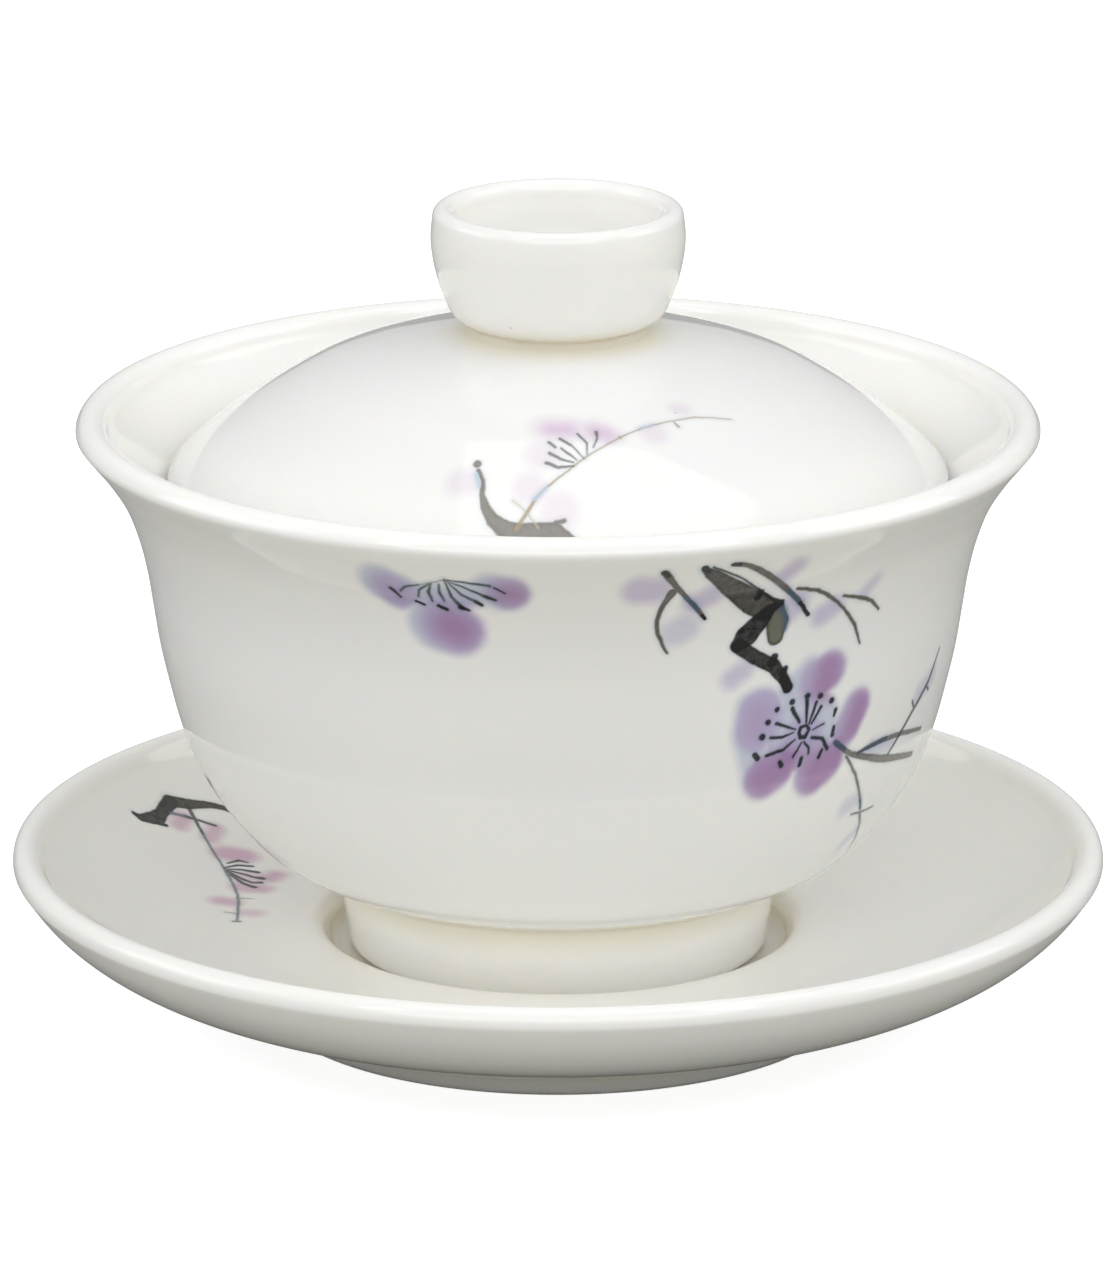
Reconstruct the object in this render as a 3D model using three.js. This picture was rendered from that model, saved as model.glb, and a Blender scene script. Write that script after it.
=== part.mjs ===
// A gaiwan: a saucer, a flared tea bowl and a lid with a cup-shaped knob, all of thick white porcelain.
// Millimetres, +Z up. The origin is the middle of the saucer's foot, on the surface that it stands on,
// and Z is the axis that all three pieces are turned about.

import * as THREE from 'three';

// Driving dimensions.
const REST_GAP = 0.3; // between two pieces where one rests on the other
const TURN_STEPS = 48; // facets round the axis

const SAUCER_RIM_RADIUS = 55;
const SAUCER_LIP_RADIUS = 1.4;
const SAUCER_LIP_HEIGHT = 16;
const SAUCER_FOOT_RADIUS = 29.7;
const SAUCER_FOOT_WIDTH = 3.4;
const SAUCER_RECESS_HEIGHT = 3;
const WELL_SHOULDER_RADIUS = 24;
const WELL_SHOULDER_HEIGHT = 8.9;
const WELL_FLOOR_HEIGHT = 6.5;

const BOWL_RIM_RADIUS = 48.05;
const BOWL_LIP_RADIUS = 1.6;
const BOWL_LIP_HEIGHT = 60.3;
const BOWL_FOOT_RADIUS = 21.1;
const BOWL_FOOT_WIDTH = 3.2;
const BOWL_FOOT_TOP_RADIUS = 22.2;
const BOWL_FOOT_TOP_HEIGHT = 14.4;
const BOWL_RECESS_HEIGHT = 3.9;
const BOWL_FLOOR_HEIGHT = 15.1;

const LID_EDGE_CENTRE_RADIUS = 37.5;
const LID_EDGE_CENTRE_HEIGHT = 55.1;
const LID_EDGE_RADIUS = 1.5;
const LID_TOP_HEIGHT = 70.5;
const LID_WALL = 3;

const KNOB_NECK_RADIUS = 8.2;
const KNOB_RADIUS = 12.65;
const KNOB_LIP_OUTER_RADIUS = 12.5;
const KNOB_LIP_RADIUS = 1.1;
const KNOB_TOP_HEIGHT = 82.9;
const KNOB_CUP_FLOOR_HEIGHT = 71.2;

const FOOT_EDGE = 0.5; // the small rounding along a foot's resting face

const point = (radius, height) => new THREE.Vector2(radius, height);

// Points on a circular arc in the profile plane, from one angle to another in degrees.
function arc(centreRadius, centreHeight, arcRadius, fromDegrees, toDegrees, steps) {
  const points = [];
  for (let step = 0; step <= steps; step += 1) {
    const angle = THREE.MathUtils.degToRad(fromDegrees + ((toDegrees - fromDegrees) * step) / steps);
    const across = arcRadius * Math.cos(angle);
    const up = arcRadius * Math.sin(angle);
    points.push(point(centreRadius + across, centreHeight + up));
  }
  return points;
}

// A smooth curve through a few chosen points, cut into equal steps.
function smooth(points, steps) {
  return new THREE.SplineCurve(points).getSpacedPoints(steps);
}

// Joins stretches of outline end to end, leaving out a point that repeats the one before it.
function outline(...stretches) {
  const points = [];
  for (const next of stretches.flat()) {
    const last = points[points.length - 1];
    if (!last || last.distanceTo(next) > 0.02) {
      points.push(next);
    }
  }
  return points;
}

// A porcelain piece turned about Z from its outline, which runs from the axis underneath, out, up and
// back to the axis on top.
function turnedPiece(name, points, colour) {
  const geometry = new THREE.LatheGeometry(points, TURN_STEPS);
  geometry.rotateX(Math.PI / 2);
  const material = new THREE.MeshStandardMaterial({ color: colour, roughness: 0.1, metalness: 0 });
  const mesh = new THREE.Mesh(geometry, material);
  mesh.name = name;
  return mesh;
}

// The underside of a foot ring: the recess inside it, its flat resting face and its outer edge.
function footRing(outerRadius, width, base, recessHeight) {
  const innerRadius = outerRadius - width;
  const ceiling = base + recessHeight;
  return [
    point(0, ceiling),
    ...arc(innerRadius - 3 * FOOT_EDGE, ceiling - 2 * FOOT_EDGE, 2 * FOOT_EDGE, 90, 0, 2),
    point(innerRadius, base + FOOT_EDGE),
    point(innerRadius + FOOT_EDGE, base),
    point(outerRadius - FOOT_EDGE, base),
    point(outerRadius, base + FOOT_EDGE),
  ];
}

function saucer() {
  const footWall = point(SAUCER_FOOT_RADIUS + 0.2, SAUCER_RECESS_HEIGHT - 0.5);
  const underside = smooth(
    [
      point(SAUCER_FOOT_RADIUS + 1, SAUCER_RECESS_HEIGHT + 0.2),
      point(38, 4.8),
      point(48, 8.8),
      point(53.4, 13.2),
      point(SAUCER_RIM_RADIUS - 0.1, SAUCER_LIP_HEIGHT - 0.6),
    ],
    8,
  );
  const lip = arc(SAUCER_RIM_RADIUS - SAUCER_LIP_RADIUS, SAUCER_LIP_HEIGHT, SAUCER_LIP_RADIUS, 0, 150, 5);
  const plate = smooth(
    [
      point(51.6, 15.4),
      point(48.4, 12.7),
      point(42, 9.9),
      point(33, 8.5),
      point(27.5, WELL_SHOULDER_HEIGHT - 0.3),
      point(WELL_SHOULDER_RADIUS + 0.9, WELL_SHOULDER_HEIGHT),
    ],
    9,
  );
  const well = [
    point(WELL_SHOULDER_RADIUS, WELL_SHOULDER_HEIGHT - 0.3),
    point(WELL_SHOULDER_RADIUS - 0.7, WELL_SHOULDER_HEIGHT - 1.2),
    point(WELL_SHOULDER_RADIUS - 1, WELL_FLOOR_HEIGHT + 0.4),
    point(WELL_SHOULDER_RADIUS - 1.6, WELL_FLOOR_HEIGHT),
    point(0, WELL_FLOOR_HEIGHT),
  ];
  const foot = footRing(SAUCER_FOOT_RADIUS, SAUCER_FOOT_WIDTH, 0, SAUCER_RECESS_HEIGHT);
  return turnedPiece('saucer', outline(foot, [footWall], underside, lip, plate, well), 0xebe8de);
}

function bowl() {
  const base = WELL_FLOOR_HEIGHT + REST_GAP;
  const outside = smooth(
    [
      point(BOWL_FOOT_TOP_RADIUS + 0.8, BOWL_FOOT_TOP_HEIGHT + 0.7),
      point(29.7, 18),
      point(36.2, 26.2),
      point(39.5, 36.7),
      point(41.3, 47.2),
      point(43.2, 53.3),
      point(46, 57.8),
      point(BOWL_RIM_RADIUS, BOWL_LIP_HEIGHT),
    ],
    14,
  );
  const lip = arc(BOWL_RIM_RADIUS - BOWL_LIP_RADIUS, BOWL_LIP_HEIGHT, BOWL_LIP_RADIUS, 25, 145, 4);
  const inside = smooth(
    [
      point(44.6, 59.7),
      point(41, 56.1),
      point(38.8, 53.8),
      point(37.6, 50.6),
      point(36.6, 42),
      point(32.7, 26.8),
      point(25, 18.6),
      point(14, BOWL_FLOOR_HEIGHT + 0.6),
      point(5, BOWL_FLOOR_HEIGHT),
    ],
    15,
  );
  const footTop = point(BOWL_FOOT_TOP_RADIUS, BOWL_FOOT_TOP_HEIGHT);
  const foot = footRing(BOWL_FOOT_RADIUS, BOWL_FOOT_WIDTH, base, BOWL_RECESS_HEIGHT);
  const floor = point(0, BOWL_FLOOR_HEIGHT);
  return turnedPiece('bowl', outline(foot, [footTop], outside, lip, inside, [floor]), 0xebe9de);
}

function lid() {
  const underside = smooth(
    [
      point(0, LID_TOP_HEIGHT - LID_WALL),
      point(14, LID_TOP_HEIGHT - LID_WALL - 0.8),
      point(26.6, 61.6),
      point(32.4, 57.4),
      point(34.6, 54.9),
      point(36, LID_EDGE_CENTRE_HEIGHT - LID_EDGE_RADIUS + 0.1),
    ],
    8,
  );
  const edge = arc(LID_EDGE_CENTRE_RADIUS, LID_EDGE_CENTRE_HEIGHT, LID_EDGE_RADIUS, -90, 40, 5);
  const dome = smooth(
    [
      point(37.9, 57),
      point(35.5, 59.1),
      point(31, 62.4),
      point(23, 66.7),
      point(KNOB_NECK_RADIUS + 0.9, LID_TOP_HEIGHT),
    ],
    8,
  );
  const knobOutside = smooth(
    [
      point(KNOB_NECK_RADIUS + 0.5, LID_TOP_HEIGHT + 0.5),
      point(KNOB_NECK_RADIUS + 2.4, 72.2),
      point(KNOB_RADIUS - 0.6, 75.8),
      point(KNOB_RADIUS, 79.2),
      point(KNOB_LIP_OUTER_RADIUS, KNOB_TOP_HEIGHT - KNOB_LIP_RADIUS),
    ],
    6,
  );
  const lipCentre = KNOB_LIP_OUTER_RADIUS - KNOB_LIP_RADIUS;
  const knobLip = arc(lipCentre, KNOB_TOP_HEIGHT - KNOB_LIP_RADIUS, KNOB_LIP_RADIUS, 0, 180, 6);
  const knobInside = smooth(
    [
      point(lipCentre - KNOB_LIP_RADIUS, KNOB_TOP_HEIGHT - 2),
      point(9.9, 78.4),
      point(8.2, 74.2),
      point(5, KNOB_CUP_FLOOR_HEIGHT + 0.4),
      point(0, KNOB_CUP_FLOOR_HEIGHT),
    ],
    6,
  );
  return turnedPiece('lid', outline(underside, edge, dome, knobOutside, knobLip, knobInside), 0xf3f3ee);
}

const gaiwan = new THREE.Group();
gaiwan.name = 'gaiwan';
gaiwan.add(saucer(), bowl(), lid());

export default gaiwan;
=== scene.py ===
"""A porcelain gaiwan painted with plum blossom: saucer, bowl and lid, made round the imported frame.

Metres, +Z up, painted front towards -Y. The painting is laid out in millimetres on each surface.
"""

import math

import bpy
import numpy as np
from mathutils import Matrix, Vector


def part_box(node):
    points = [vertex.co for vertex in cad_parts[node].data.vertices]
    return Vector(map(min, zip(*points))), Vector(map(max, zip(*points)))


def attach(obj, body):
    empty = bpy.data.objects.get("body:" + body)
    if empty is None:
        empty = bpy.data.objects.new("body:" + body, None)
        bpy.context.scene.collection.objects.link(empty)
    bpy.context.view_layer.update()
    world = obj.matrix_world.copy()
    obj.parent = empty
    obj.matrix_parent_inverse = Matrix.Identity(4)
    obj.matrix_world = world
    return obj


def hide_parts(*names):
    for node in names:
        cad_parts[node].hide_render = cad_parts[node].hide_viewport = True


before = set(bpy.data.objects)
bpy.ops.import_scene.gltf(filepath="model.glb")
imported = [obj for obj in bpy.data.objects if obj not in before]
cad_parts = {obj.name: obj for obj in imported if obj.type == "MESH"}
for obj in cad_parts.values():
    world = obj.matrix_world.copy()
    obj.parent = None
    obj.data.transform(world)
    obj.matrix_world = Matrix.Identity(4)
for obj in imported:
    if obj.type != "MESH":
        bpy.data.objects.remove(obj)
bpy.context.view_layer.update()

MM = 0.001

# Turned surfaces
TURN_STEPS = 240
FINE_STEP = 0.6 * MM  # longest step along an outline
BEND_STEPS = 4  # fewest steps between two points of a CAD outline
CREASE_DEGREES = 33  # an inward corner sharper than this is a crease
CREASE_ROUND = 0.45 * MM  # how far along the outline the glaze fills a crease
CREASE_SHARE = 0.4  # the most of a neighbouring stretch that the filling takes up
ON_AXIS = 1e-6  # metres; anything nearer the axis is on it
PLACE_DECIMALS = 6  # places on an outline are matched to a micrometre
WAVER = 0.05 * MM  # how far a thrown surface strays inwards from a true circle
# Waves of a thrown surface: size, lobes round the piece, radians for each metre up, shift for each seed
WAVES = ((0.22, 2, 60, 1.0), (0.16, 3, -90, 2.1), (0.12, 5, 140, 3.7))

# Surfaces, in millimetres
BARE_FOOT = 0.4  # height of the unglazed edge under a foot ring
BOWL_PAINT_RADIUS = 40  # one radian round the bowl is this long in the painting's coordinates
# The rectangle that holds each painting, in its own coordinates: left, right, low and high side
SAUCER_SPRIG = (-46, -26, -3, 33)
BOWL_BLOSSOM = (-20, 0, 46, 59.8)
BOWL_BRANCH = (2.5, 54, 18, 60.2)
LID_SPRIG = (-13, 19, -39, -15)

# Camera, in metres
CAMERA_DISTANCE = 0.9
CAMERA_ELEVATION = math.radians(16.49)
CAMERA_LENS = 253.9  # mm
CAMERA_SIDE = -0.0003
CAMERA_NEAR = 0.05
CAMERA_FAR = 20
AIM_HEIGHT = 0.03846  # the camera and the lights aim at this height on the axis

# Stage and light
FLOOR_HALF = 3.0  # metres
TABLE_GREY = (0.33, 0.33, 0.32)  # the floor as the porcelain sees it
PAPER_GREY = (0.50, 0.50, 0.50)  # the floor as the camera sees it
PAPER_GLOW = 0.85  # the light that the paper gives off to look white
ROOM_LIGHT = 0.52  # the even light from all round


# ---------------------------------------------------------------- shapes


def cad_outline(node):
    """The outline of a turned CAD node, from the axis underneath, out, up and back to the axis."""
    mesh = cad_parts[node].data
    spots = {}
    for vertex in mesh.vertices:
        x, y, z = vertex.co
        if abs(y) < ON_AXIS and x > -ON_AXIS:
            spots[vertex.index] = (round(max(x, 0), PLACE_DECIMALS), round(z, PLACE_DECIMALS))
    links = {}
    for edge in mesh.edges:
        first, second = (spots.get(index) for index in edge.vertices)
        if first and second and first != second:
            links.setdefault(first, set()).add(second)
            links.setdefault(second, set()).add(first)
    here = min((spot for spot in links if spot[0] < ON_AXIS), key=lambda spot: spot[1])
    path = [here]
    while True:
        onward = [spot for spot in links[here] if spot not in path]
        if not onward:
            return np.array(path)
        here = onward[0]
        path.append(here)


def turn_at(points, index):
    """How far the outline turns at a point, in degrees: outward corners are positive, creases negative."""
    before = points[index] - points[index - 1]
    after = points[index + 1] - points[index]
    cross = before[0] * after[1] - before[1] * after[0]
    return math.degrees(math.atan2(cross, before @ after))


def creases(points):
    """The points where the outline has a crease."""
    inner = range(1, len(points) - 1)
    return [points[index] for index in inner if turn_at(points, index) < -CREASE_DEGREES]


def with_soft_creases(points):
    """The outline with each crease filled in by a small curve, as glaze fills it."""
    result = [points[0]]
    for index in range(1, len(points) - 1):
        here = points[index]
        if turn_at(points, index) > -CREASE_DEGREES:
            result.append(here)
            continue
        back = points[index - 1] - here
        onward = points[index + 1] - here
        back_length = np.linalg.norm(back)
        onward_length = np.linalg.norm(onward)
        reach = min(CREASE_ROUND, CREASE_SHARE * back_length, CREASE_SHARE * onward_length)
        start = here + back / back_length * reach
        end = here + onward / onward_length * reach
        result += [start, (start + 2 * here + end) / 4, end]
    return np.array(result + [points[-1]])


def smooth_outline(points):
    """A finely stepped smooth curve through the outline's points, level where it meets the axis."""
    chords = np.diff(points, axis=0)
    lengths = np.linalg.norm(chords, axis=1)
    ways = [np.array([1.0, 0.0])]
    for index in range(1, len(chords)):
        way = chords[index - 1] * lengths[index - 1] + chords[index] * lengths[index]
        ways.append(way / np.linalg.norm(way))
    ways.append(np.array([-1.0, 0.0]))
    result = [points[0]]
    for index, length in enumerate(lengths):
        steps = max(BEND_STEPS, math.ceil(length / FINE_STEP))
        start, end = points[index], points[index + 1]
        start_pull = ways[index] * length
        end_pull = ways[index + 1] * length
        for step in range(1, steps + 1):
            t = step / steps
            result.append(
                (2 * t**3 - 3 * t**2 + 1) * start
                + (t**3 - 2 * t**2 + t) * start_pull
                + (3 * t**2 - 2 * t**3) * end
                + (t**3 - t**2) * end_pull
            )
    result = np.array(result)
    result[:, 0] = np.clip(result[:, 0], 0, points[:, 0].max())
    result[:, 1] = np.clip(result[:, 1], points[:, 1].min(), points[:, 1].max())
    result[0, 0] = result[-1, 0] = 0
    return result


def waver(angle, height, seed):
    """A slow stray of a thrown wall, from 0 to 1, round the piece and up it."""
    waves = [
        size * np.sin(lobes * angle + rise * height + shift * seed)
        for size, lobes, rise, shift in WAVES
    ]
    return 0.5 + sum(waves)


class Turned:
    """A piece turned about Z from its CAD node, with the place of each face for choosing its material."""

    def __init__(self, node, seed):
        self.node = node
        points = cad_outline(node)
        self.creases = [tuple(crease / MM) for crease in creases(points)]
        self.outline = smooth_outline(with_soft_creases(points))
        rings = self.outline[1:-1]
        angles = np.arange(TURN_STEPS) * 2 * math.pi / TURN_STEPS
        radius = rings[:, 0][:, None] - WAVER * waver(angles, rings[:, 1][:, None], seed)
        height = np.repeat(rings[:, 1][:, None], TURN_STEPS, axis=1)
        around = np.stack([radius * np.sin(angles), -radius * np.cos(angles), height], axis=2)
        bottom = (0, 0, self.outline[0, 1])
        top = (0, 0, self.outline[-1, 1])
        vertices = [bottom, *map(tuple, around.reshape(-1, 3)), top]
        faces = []
        last_ring = 1 + (len(rings) - 1) * TURN_STEPS
        for step in range(TURN_STEPS):
            following = (step + 1) % TURN_STEPS
            faces.append((0, 1 + following, 1 + step))
            for ring in range(len(rings) - 1):
                low = 1 + ring * TURN_STEPS
                high = low + TURN_STEPS
                faces.append((low + step, low + following, high + following, high + step))
            faces.append((last_ring + step, last_ring + following, len(vertices) - 1))
        mesh = bpy.data.meshes.new(node)
        mesh.from_pydata(vertices, [], faces)
        mesh.polygons.foreach_set("use_smooth", [True] * len(faces))
        self.object = bpy.data.objects.new(f"{node}_porcelain", mesh)
        bpy.context.scene.collection.objects.link(self.object)
        centres = np.zeros(len(faces) * 3)
        mesh.polygons.foreach_get("center", centres)
        self.centres = centres.reshape(-1, 3) / MM
        per_step = len(rings) + 1
        self.along = np.tile(np.arange(per_step), TURN_STEPS)
        self.rim = int(np.argmax(self.outline[:, 0]))

    def outside(self):
        """Faces below the widest ring, which are the piece's outer side."""
        return self.along < self.rim

    def give(self, material, chosen=None):
        """Adds a material, for all faces or for the chosen ones."""
        mesh = self.object.data
        mesh.materials.append(material)
        if chosen is None:
            return
        indices = np.zeros(len(mesh.polygons), dtype=np.int32)
        mesh.polygons.foreach_get("material_index", indices)
        indices[chosen] = len(mesh.materials) - 1
        mesh.polygons.foreach_set("material_index", indices)


# ---------------------------------------------------------------- materials


class Shader:
    """A material's nodes, added one after another."""

    def __init__(self, name=None, tree=None):
        if tree is None:
            self.material = bpy.data.materials.new(name)
            self.material.use_nodes = True
            tree = self.material.node_tree
            tree.nodes.clear()
        self.tree = tree

    def add(self, kind, *inputs, **settings):
        """A new node with its inputs filled in order: numbers, vectors, colours or other nodes' outputs."""
        node = self.tree.nodes.new(kind)
        for name, value in settings.items():
            setattr(node, name, value)
        for socket, value in zip(node.inputs, inputs):
            self.fill(socket, value)
        return node

    def fill(self, socket, value):
        """Links another node's output to the socket, or sets the socket's own value."""
        if isinstance(value, bpy.types.NodeSocket):
            self.tree.links.new(value, socket)
        else:
            socket.default_value = value

    def math(self, operation, *inputs):
        """A number worked out from other numbers."""
        return self.add("ShaderNodeMath", *inputs, operation=operation).outputs[0]

    def vector(self, operation, *inputs):
        """A vector's maths: a length, dot product or distance comes out as a number."""
        node = self.add("ShaderNodeVectorMath", operation=operation)
        if operation == "SCALE":
            self.fill(node.inputs[0], inputs[0])
            self.fill(node.inputs["Scale"], inputs[1])
        else:
            for socket, value in zip(node.inputs, inputs):
                self.fill(socket, value)
        numeric = operation in ("DOT_PRODUCT", "DISTANCE", "LENGTH")
        return node.outputs["Value" if numeric else "Vector"]

    def noise(self, place, scale, detail=2.0, roughness=0.5):
        """Soft noise; the scale is in waves for each millimetre."""
        node = self.add("ShaderNodeTexNoise")
        self.fill(node.inputs["Vector"], place)
        node.inputs["Scale"].default_value = scale
        node.inputs["Detail"].default_value = detail
        node.inputs["Roughness"].default_value = roughness
        return node

    def spread(self, value, low, high, to_low, to_high, smooth=False):
        """Maps a number from one range to another, held at both ends; smooth eases in and out of them."""
        node = self.add("ShaderNodeMapRange", value, low, high, to_low, to_high)
        node.interpolation_type = "SMOOTHSTEP" if smooth else "LINEAR"
        node.clamp = not smooth
        return node.outputs[0]

    def mix(self, share, first, second, blend="MIX"):
        """The first colour with a share of the second mixed in."""
        node = self.tree.nodes.new("ShaderNodeMix")
        node.data_type = "RGBA"
        node.blend_type = blend
        self.fill(node.inputs["Factor"], share)
        self.fill(node.inputs[6], first)
        self.fill(node.inputs[7], second)
        return node.outputs[2]

    def millimetres(self):
        """The place on the piece, in millimetres."""
        coordinates = self.add("ShaderNodeTexCoord")
        return self.vector("SCALE", coordinates.outputs["Object"], 1 / MM)

    def emboss(self, finish, height, strength, depth):
        """Lets a number between 0 and 1 lift the surface of the finish by up to the depth, in metres."""
        bump = self.add("ShaderNodeBump")
        bump.inputs["Strength"].default_value = strength
        bump.inputs["Distance"].default_value = depth
        self.fill(bump.inputs["Height"], height)
        self.fill(finish.inputs["Normal"], bump.outputs[0])


CREASE_SHADE_REACH = 4.0  # mm; how far from a crease the painted warm shade reaches, where the glaze is also thicker
# Painted shade: the warm, darker colour that the porcelain is multiplied by in its creases, where the glaze
# also pools
CREASE_SHADE_AND_POOL = (0.97, 0.93, 0.83, 1)
COOLER = (0.985, 0.99, 1.0)  # what the body's cooler patches are multiplied by
PATCH_SCALE = 0.05  # this and the other scales are in waves for each millimetre
SPECK_SCALE = 0.11
SPECK_EDGE = (0.012, 0.022)  # where an iron speck begins and ends to fade
SPECK_COLOUR = (0.30, 0.22, 0.14, 1)
SPECK_STRENGTH = 0.35
GLOSS_SCALE = 0.25
GLOSS_ROUGHNESS = (0.035, 0.075)
RIPPLE_SCALE = 0.16
RIPPLE_DEPTH = 0.06 * MM
RIPPLE_STRENGTH = 0.35  # of the bump
GLAZE_IOR = 1.5
LIGHT_DEPTH = 3.5 * MM  # how far light spreads inside the porcelain
LIGHT_REACH = (1.0, 0.85, 0.65)  # the share of that depth for red, green and blue
LIGHT_SHARE = 0.6
FOOT_SCALE = 2.2
FOOT_COLOURS = ((0.76, 0.72, 0.64, 1), (0.62, 0.56, 0.47, 1))
FOOT_ROUGHNESS = (0.6, 0.8)
FOOT_DEPTH = 0.05 * MM
FOOT_STRENGTH = 0.5
PORCELAIN = {
    "saucer": (0.91, 0.90, 0.86),
    "bowl": (0.92, 0.91, 0.87),
    # Painted shade: the lid is the same porcelain as the bowl, given a darker colour to hold back the strong
    # light on its top.
    "lid": (0.85, 0.846, 0.822),
}


def near_creases(shader, place, piece):
    """How near the place is to a crease, for the painted warm shade there, where the glaze also pooled: 1 in
    it, 0 well away.
    """
    level = shader.vector("LENGTH", shader.vector("MULTIPLY", place, (1, 1, 0)))
    height = shader.add("ShaderNodeSeparateXYZ", place).outputs["Z"]
    profile = shader.add("ShaderNodeCombineXYZ", level, height, 0.0).outputs[0]
    gap = CREASE_SHADE_REACH
    for radius, rise in piece.creases:
        gap = shader.math("MINIMUM", gap, shader.vector("DISTANCE", profile, (radius, rise, 0)))
    return shader.spread(gap, 0.0, CREASE_SHADE_REACH, 1.0, 0.0, smooth=True)


def glaze(name, piece, paint=None):
    """Clear glossy glaze on warm white porcelain, with the piece's painting under it where there is one."""
    shader = Shader(name)
    place = shader.millimetres()
    body = PORCELAIN[piece.node]
    cooler = tuple(channel * shift for channel, shift in zip(body, COOLER))
    patches = shader.noise(place, PATCH_SCALE).outputs["Fac"]
    share = shader.spread(patches, 0.35, 0.65, 0.0, 1.0, smooth=True)
    colour = shader.mix(share, (*body, 1), (*cooler, 1))
    speck = shader.add("ShaderNodeTexVoronoi", feature="F1")
    shader.fill(speck.inputs["Vector"], place)
    speck.inputs["Scale"].default_value = SPECK_SCALE
    cover = shader.spread(speck.outputs["Distance"], *SPECK_EDGE, SPECK_STRENGTH, 0.0)
    colour = shader.mix(cover, colour, SPECK_COLOUR, "MULTIPLY")
    # Painted shade: the creases are darkened and warmed, where the glaze also pools.
    colour = shader.mix(near_creases(shader, place, piece), colour, CREASE_SHADE_AND_POOL, "MULTIPLY")
    if paint:
        colour = paint(shader, place, colour)
    finish = shader.add("ShaderNodeBsdfPrincipled")
    shader.fill(finish.inputs["Base Color"], colour)
    gloss = shader.noise(place, GLOSS_SCALE, detail=3.0).outputs["Fac"]
    shader.fill(finish.inputs["Roughness"], shader.spread(gloss, 0.3, 0.7, *GLOSS_ROUGHNESS))
    ripple = shader.noise(place, RIPPLE_SCALE).outputs["Fac"]
    shader.emboss(finish, ripple, RIPPLE_STRENGTH, RIPPLE_DEPTH)
    finish.inputs["IOR"].default_value = GLAZE_IOR
    finish.inputs["Subsurface Weight"].default_value = LIGHT_SHARE
    finish.inputs["Subsurface Radius"].default_value = LIGHT_REACH
    finish.inputs["Subsurface Scale"].default_value = LIGHT_DEPTH
    shader.add("ShaderNodeOutputMaterial", finish.outputs[0])
    return shader.material


def bare_foot(name):
    """The dry, unglazed edge that a piece stood on in the kiln."""
    shader = Shader(name)
    place = shader.millimetres()
    grain = shader.noise(place, FOOT_SCALE, detail=5.0, roughness=0.65).outputs["Fac"]
    share = shader.spread(grain, 0.35, 0.7, 0.0, 1.0)
    finish = shader.add("ShaderNodeBsdfPrincipled")
    shader.fill(finish.inputs["Base Color"], shader.mix(share, *FOOT_COLOURS))
    shader.fill(finish.inputs["Roughness"], shader.spread(grain, 0.3, 0.7, *FOOT_ROUGHNESS))
    shader.emboss(finish, grain, FOOT_STRENGTH, FOOT_DEPTH)
    shader.add("ShaderNodeOutputMaterial", finish.outputs[0])
    return shader.material


# ---------------------------------------------------------------- painting

INK = (0.004, 0.004, 0.004)
BARK = (0.048, 0.040, 0.026)
TWIG = (0.095, 0.078, 0.048)
SLATE = (0.055, 0.12, 0.20)
LEAF = (0.20, 0.215, 0.15)
SKY = (0.68, 0.72, 0.85)
LILAC = (0.85, 0.74, 0.90)
MAUVE = (0.80, 0.56, 0.70)
ROSE = (0.68, 0.42, 0.60)
BLOSSOM_STAMEN = (0.040, 0.055, 0.052)
WET_BARK = (0.012, 0.010, 0.008)
HEART = (0.010, 0.016, 0.020)
DEEP_SLATE = (0.045, 0.085, 0.14)
GREY_TWIG = (0.05, 0.055, 0.05)
LID_PINK = (0.90, 0.84, 0.92)
LID_MAUVE = (0.84, 0.70, 0.84)
LID_BARK = (0.13, 0.112, 0.085)
LID_BLUE = (0.42, 0.56, 0.66)
LID_SHOOT = (0.40, 0.30, 0.18)
LID_TWIG = (0.55, 0.46, 0.34)
LID_SKY = (0.45, 0.58, 0.72)
LID_STAMEN = (0.11, 0.105, 0.095)
SAUCER_KNOT = (0.012, 0.011, 0.008)
SAUCER_BARK = (0.048, 0.043, 0.026)
SAUCER_TWIG = (0.05, 0.052, 0.042)
SAUCER_SHOOT = (0.13, 0.15, 0.17)
SAUCER_STAMEN = (0.022, 0.022, 0.026)
SAUCER_THORN = (0.2, 0.2, 0.22)

# The brush, in millimetres
SHAKE = 0.11  # how far an edge strays
SHAKE_SCALE = 0.9
GRAIN_SCALE = 1.6
GRAIN_COVER = 0.94  # how well ink covers where it ran dry
BLEED_EDGE = (-0.6, 0.1)  # where ink's bleed into the glaze begins and is full
BLEED_COLOUR = (0.74, 0.80, 0.86, 1)
BLEED_STRENGTH = 0.5
POOL_EDGE = (0.12, 0.55)  # how far inside a stroke its darker edge ends
SHORTEST_SQUARED = 1e-6  # a dab has no length, and can't be divided by it
OUTSIDE = -1000.0  # how far inside a stroke any place is before there is one


def stroke_group():
    """Nodes for one tapered stroke: how far the place lies inside it or inside the strokes joined so far."""
    group = bpy.data.node_groups.get("stroke")
    if group:
        return group
    group = bpy.data.node_groups.new("stroke", "ShaderNodeTree")
    for name, kind in {
        "Place": "Vector",
        "Joined": "Float",
        "Start": "Vector",
        "Way": "Vector",
        "Reach": "Vector",
        "Half Width": "Float",
        "Half Growth": "Float",
    }.items():
        group.interface.new_socket(name, in_out="INPUT", socket_type=f"NodeSocket{kind}")
    group.interface.new_socket("Inside", in_out="OUTPUT", socket_type="NodeSocketFloat")
    shader = Shader(tree=group)
    place, joined, start, way, reach, half, growth, _ = shader.add("NodeGroupInput").outputs
    from_start = shader.vector("SUBTRACT", place, start)
    toward = shader.vector("DOT_PRODUCT", from_start, reach)
    share = shader.add("ShaderNodeClamp", toward, 0.0, 1.0).outputs[0]
    gap = shader.vector("DISTANCE", from_start, shader.vector("SCALE", way, share))
    width = shader.math("MULTIPLY_ADD", share, growth, half)
    inside = shader.math("MAXIMUM", joined, shader.math("SUBTRACT", width, gap))
    shader.add("NodeGroupOutput", inside)
    return group


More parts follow.
